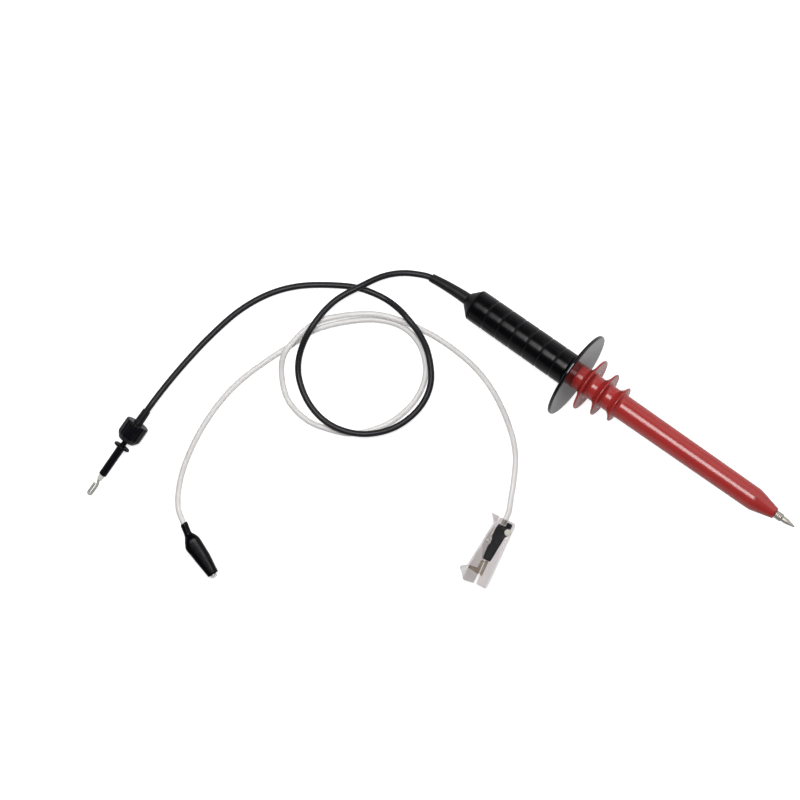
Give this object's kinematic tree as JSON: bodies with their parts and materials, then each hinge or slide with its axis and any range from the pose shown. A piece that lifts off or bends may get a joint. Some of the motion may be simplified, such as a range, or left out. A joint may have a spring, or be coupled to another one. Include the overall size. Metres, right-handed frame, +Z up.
{
  "type": "high voltage probe",
  "caption": "Hand-held high voltage probe with a finned red insulator, round hand guard, ribbed black handle, signal cable with hook clip, and a ground lead with clips.",
  "frame": {"origin": "on the floor, under the middle of the probe itself, cords left out", "axes": "+X from the cable end towards the probe's tip, +Z up; the probe's axis lies in the XZ plane, tip raised 13 degrees"},
  "size_m": [0.4505, 0.3225, 0.0804],
  "materials": {
    "handle_plastic": "semi-gloss black moulding",
    "guard_plastic": "glossy black",
    "sleeve_rubber": "matt black rubber",
    "insulator_plastic": "glossy red moulding",
    "nickel": "worn nickel plate",
    "brass": "plain brass",
    "steel": "zinc plated",
    "tinned_copper": "tinned",
    "resistor_ceramic": "lacquered blue",
    "potting": "black potting resin",
    "circuit_board": "green board",
    "trimmer_plastic": "off-white",
    "cable_sheath": "semi-matt black sheath",
    "hook_plastic": "black moulding",
    "nose_plastic": "off-white",
    "lead_silicone": "translucent grey white silicone",
    "boot_vinyl": "black vinyl",
    "clear_plastic": "clear, slightly smoky",
    "core_plastic": "black",
    "screw_plastic": "off-white"
  },
  "bodies": {
    "probe": {"cable_crimp": "brass", "clear_clip_core": "core_plastic", "clear_clip_ferrule": "tinned_copper", "clear_clip_fixed_jaw": "brass", "clear_clip_fixed_lever": "clear_plastic", "clear_clip_pin": "nickel", "clear_clip_screw": "screw_plastic", "clear_clip_spring": "steel", "contact_spring": "steel", "crocodile_boot": "boot_vinyl", "crocodile_ferrule": "tinned_copper", "crocodile_fixed_jaw": "steel", "crocodile_pin": "steel", "crocodile_spring": "steel", "divider_lead_wire": "tinned_copper", "divider_resistor": "resistor_ceramic", "ground_lead": "lead_silicone", "guard_collar": "handle_plastic", "guard_disc": "guard_plastic", "handle_end_cap": "handle_plastic", "handle_shell": "handle_plastic", "hook_cable_sleeve": "sleeve_rubber", "hook_clip_hook": "nickel", "hook_clip_knob": "hook_plastic", "hook_clip_spring": "steel", "insulator": "insulator_plastic", "insulator_nut": "brass", "network_board": "circuit_board", "network_potting": "potting", "probe_tip": "nickel", "resistor_front_cap": "nickel", "resistor_rear_cap": "nickel", "shield_tube": "brass", "signal_cable": "cable_sheath", "strain_relief_sleeve": "sleeve_rubber", "trimmer_capacitor": "trimmer_plastic"},
    "hook_barrel": {"hook_clip_barrel": "hook_plastic", "hook_clip_nose": "nose_plastic"},
    "crocodile_jaw": {"crocodile_moving_jaw": "steel"},
    "clip_lever": {"clear_clip_moving_lever": "clear_plastic", "clear_clip_moving_jaw": "brass"}
  },
  "joints": [
    {"name": "hook_barrel_slide", "type": "slide", "parent": "probe", "child": "hook_barrel", "axis": [0, 0.9883, 0.1527], "range_m": [0, 0.0038], "stiffness_N_per_m": 150, "springref_m": -0.006, "deforming": ["hook_clip_spring"]},
    {"name": "crocodile_jaw_hinge", "type": "hinge", "parent": "probe", "child": "crocodile_jaw", "pos_m": [-0.18563, -0.27394, 0.0052], "axis": [0, 0, 1], "range_deg": [0, 20], "stiffness_Nm_per_rad": 0.03, "springref_deg": -28.65, "deforming": ["crocodile_boot"]},
    {"name": "clear_clip_hinge", "type": "hinge", "parent": "probe", "child": "clip_lever", "pos_m": [-0.0119, -0.13946, 0.006], "axis": [0, 0, -1], "range_deg": [0, 10], "stiffness_Nm_per_rad": 0.05, "springref_deg": -22.92}
  ]
}
